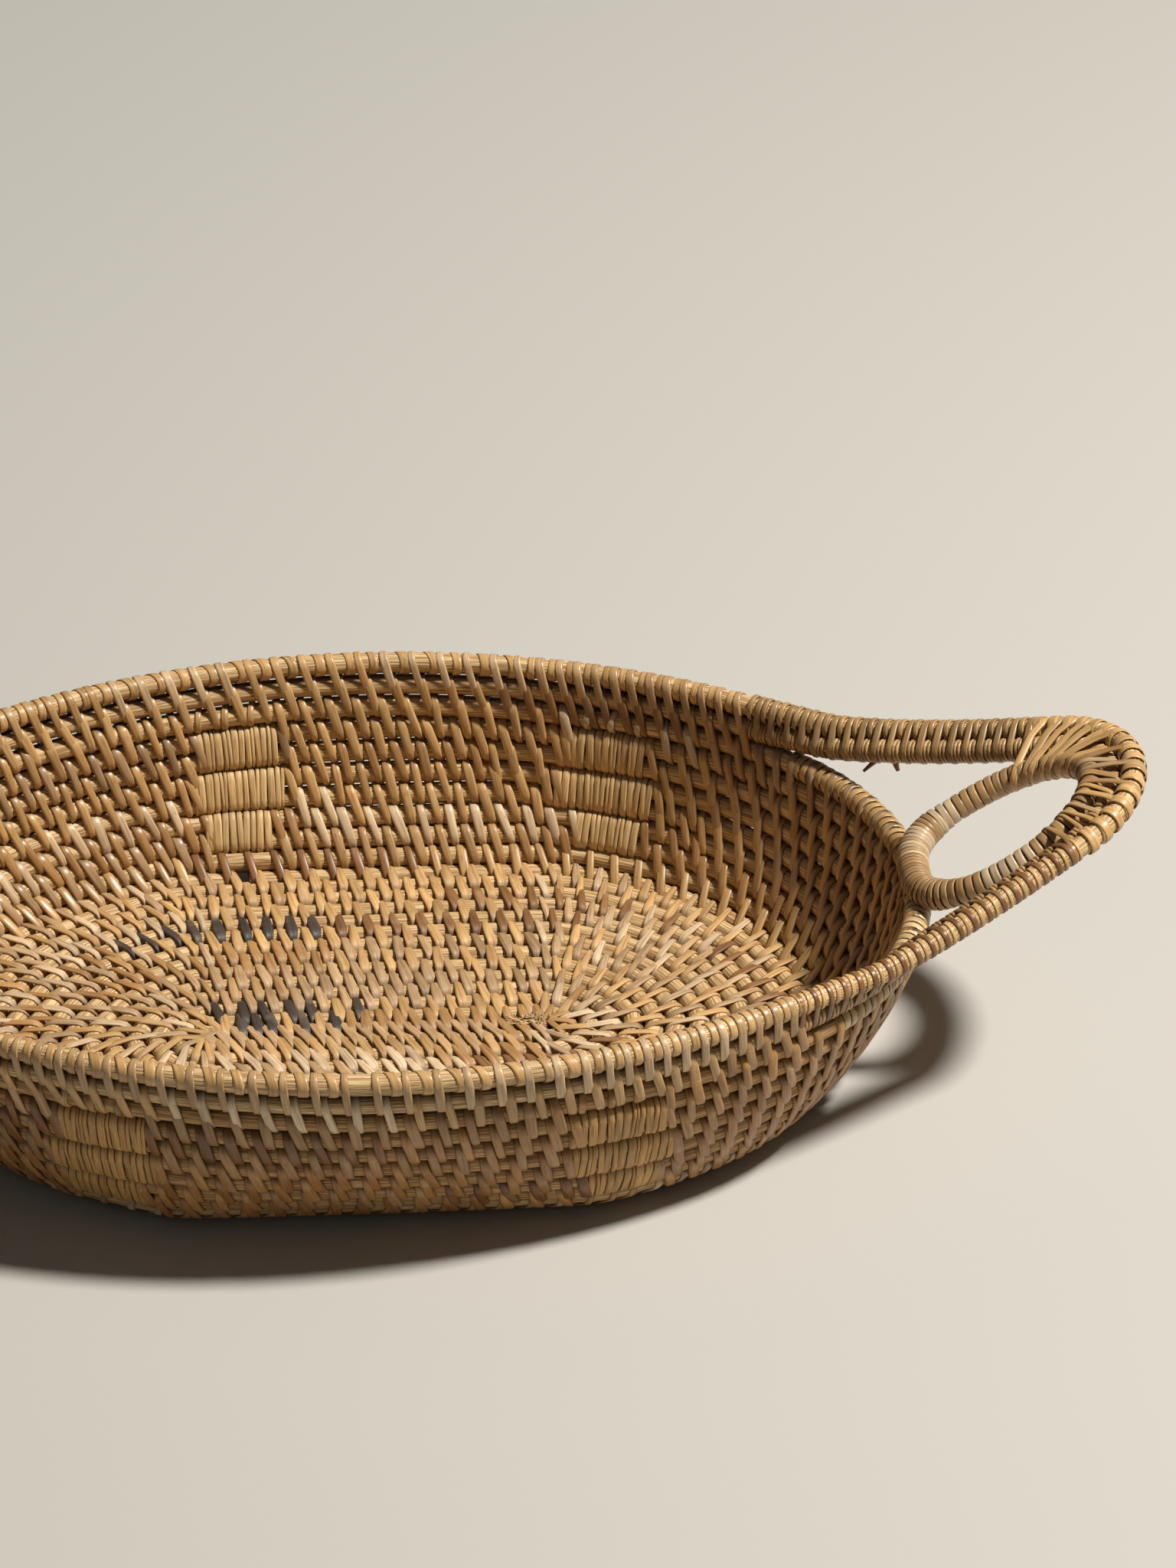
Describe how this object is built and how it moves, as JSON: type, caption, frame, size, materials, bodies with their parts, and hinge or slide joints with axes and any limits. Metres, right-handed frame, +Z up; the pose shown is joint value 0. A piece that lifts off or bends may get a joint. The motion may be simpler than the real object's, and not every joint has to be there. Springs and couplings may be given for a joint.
{
  "type": "flat rattan basket",
  "caption": "Shallow oval basket of sewn rattan coil with flared sides and a looped, wound handle at each end.",
  "frame": {"origin": "middle of the basket's underside, on the surface it stands on", "axes": "X along the basket from handle to handle, Y across it towards the back, +Z up"},
  "size_m": [0.4482, 0.2272, 0.0948],
  "materials": {
    "core_cane": "satin",
    "rim_cane": "satin",
    "ring_winding": "satin",
    "lacing_cane": "satin",
    "panel_straw": "matte"
  },
  "bodies": {
    "root": {"base_coil": "core_cane", "wall_coil": "core_cane", "rim_rod_upper": "rim_cane", "rim_rod_lower": "rim_cane", "handle_ring_right": "ring_winding", "tip_lacing_right": "lacing_cane", "seat_lacing_right": "lacing_cane", "handle_ring_left": "ring_winding", "tip_lacing_left": "lacing_cane", "seat_lacing_left": "lacing_cane", "panel_back_left_top": "panel_straw", "panel_back_left_middle": "panel_straw", "panel_back_left_bottom": "panel_straw", "panel_back_right_top": "panel_straw", "panel_back_right_middle": "panel_straw", "panel_back_right_bottom": "panel_straw", "panel_front_left_top": "panel_straw", "panel_front_left_middle": "panel_straw", "panel_front_left_bottom": "panel_straw", "panel_front_right_top": "panel_straw", "panel_front_right_middle": "panel_straw", "panel_front_right_bottom": "panel_straw"}
  },
  "joints": []
}
